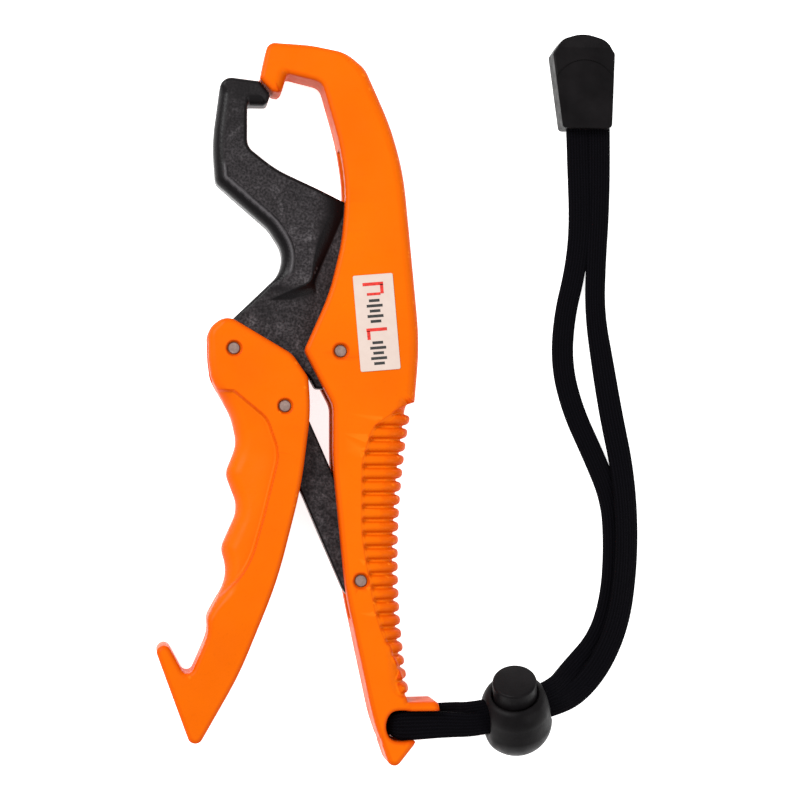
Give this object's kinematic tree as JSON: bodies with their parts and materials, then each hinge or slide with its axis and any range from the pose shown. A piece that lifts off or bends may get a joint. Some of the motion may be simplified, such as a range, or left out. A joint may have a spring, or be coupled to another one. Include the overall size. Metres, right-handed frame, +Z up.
{
  "type": "fish lip grip",
  "caption": "Hand-squeezed fish lip grip with a swinging hooked jaw, a toggle link, a hooked finger lever and a wrist lanyard with a push-button cord lock.",
  "frame": {"origin": "middle of the tool's footprint on the surface it lies on, without the lanyard", "axes": "+Z up through the thickness from the back face to the front face, +Y from the handle ends to the jaws, +X from the finger lever to the lanyard side"},
  "size_m": [0.1649, 0.2503, 0.0308],
  "materials": {
    "orange_plastic": "satin moulded plastic",
    "black_nylon": "mottled moulded nylon",
    "pin_steel": "dull",
    "label_vinyl": "printed vinyl",
    "cord_braid": "flat braid",
    "lock_plastic": "satin",
    "spring_steel": "bright"
  },
  "bodies": {
    "main_body": {"main_body": "orange_plastic", "jaw_pivot_pin": "pin_steel", "link_body_pin": "pin_steel", "label": "label_vinyl", "lanyard_cord": "cord_braid", "cord_lock_barrel": "lock_plastic", "cord_lock_spring": "spring_steel", "cord_end_base": "lock_plastic", "cord_end_lid": "lock_plastic"},
    "swing_jaw": {"swing_jaw": "black_nylon"},
    "squeeze_lever": {"squeeze_lever": "orange_plastic", "lever_pivot_pin": "pin_steel", "link_lever_pin": "pin_steel"},
    "toggle_link": {"toggle_link": "black_nylon"},
    "cord_lock_plunger": {"cord_lock_plunger": "lock_plastic"}
  },
  "joints": [
    {"name": "jaw_swing", "type": "hinge", "parent": "main_body", "child": "swing_jaw", "pos_m": [0.0136, 0.0172, 0.011], "axis": [0, 0, 1], "range_deg": [0, 4.43]},
    {"name": "lever_squeeze", "type": "hinge", "parent": "swing_jaw", "child": "squeeze_lever", "pos_m": [-0.0222, 0.018, 0.011], "axis": [0, 0, 1], "range_deg": [0, 8.57]},
    {"name": "link_turn", "type": "hinge", "parent": "main_body", "child": "toggle_link", "pos_m": [0.0205, -0.0599, 0.011], "axis": [0, 0, 1], "range_deg": [-3.81, 0]},
    {"name": "lock_press", "type": "slide", "parent": "main_body", "child": "cord_lock_plunger", "axis": [0.1305, -0.7368, -0.6634], "range_m": [0, 0.002], "stiffness_N_per_m": 900, "springref_m": -0.001, "deforming": ["cord_lock_spring"]}
  ],
  "couplings": [
    {"joint": "jaw_swing", "follows": "lever_squeeze", "ratio": 0.516},
    {"joint": "link_turn", "follows": "lever_squeeze", "ratio": -0.444}
  ]
}
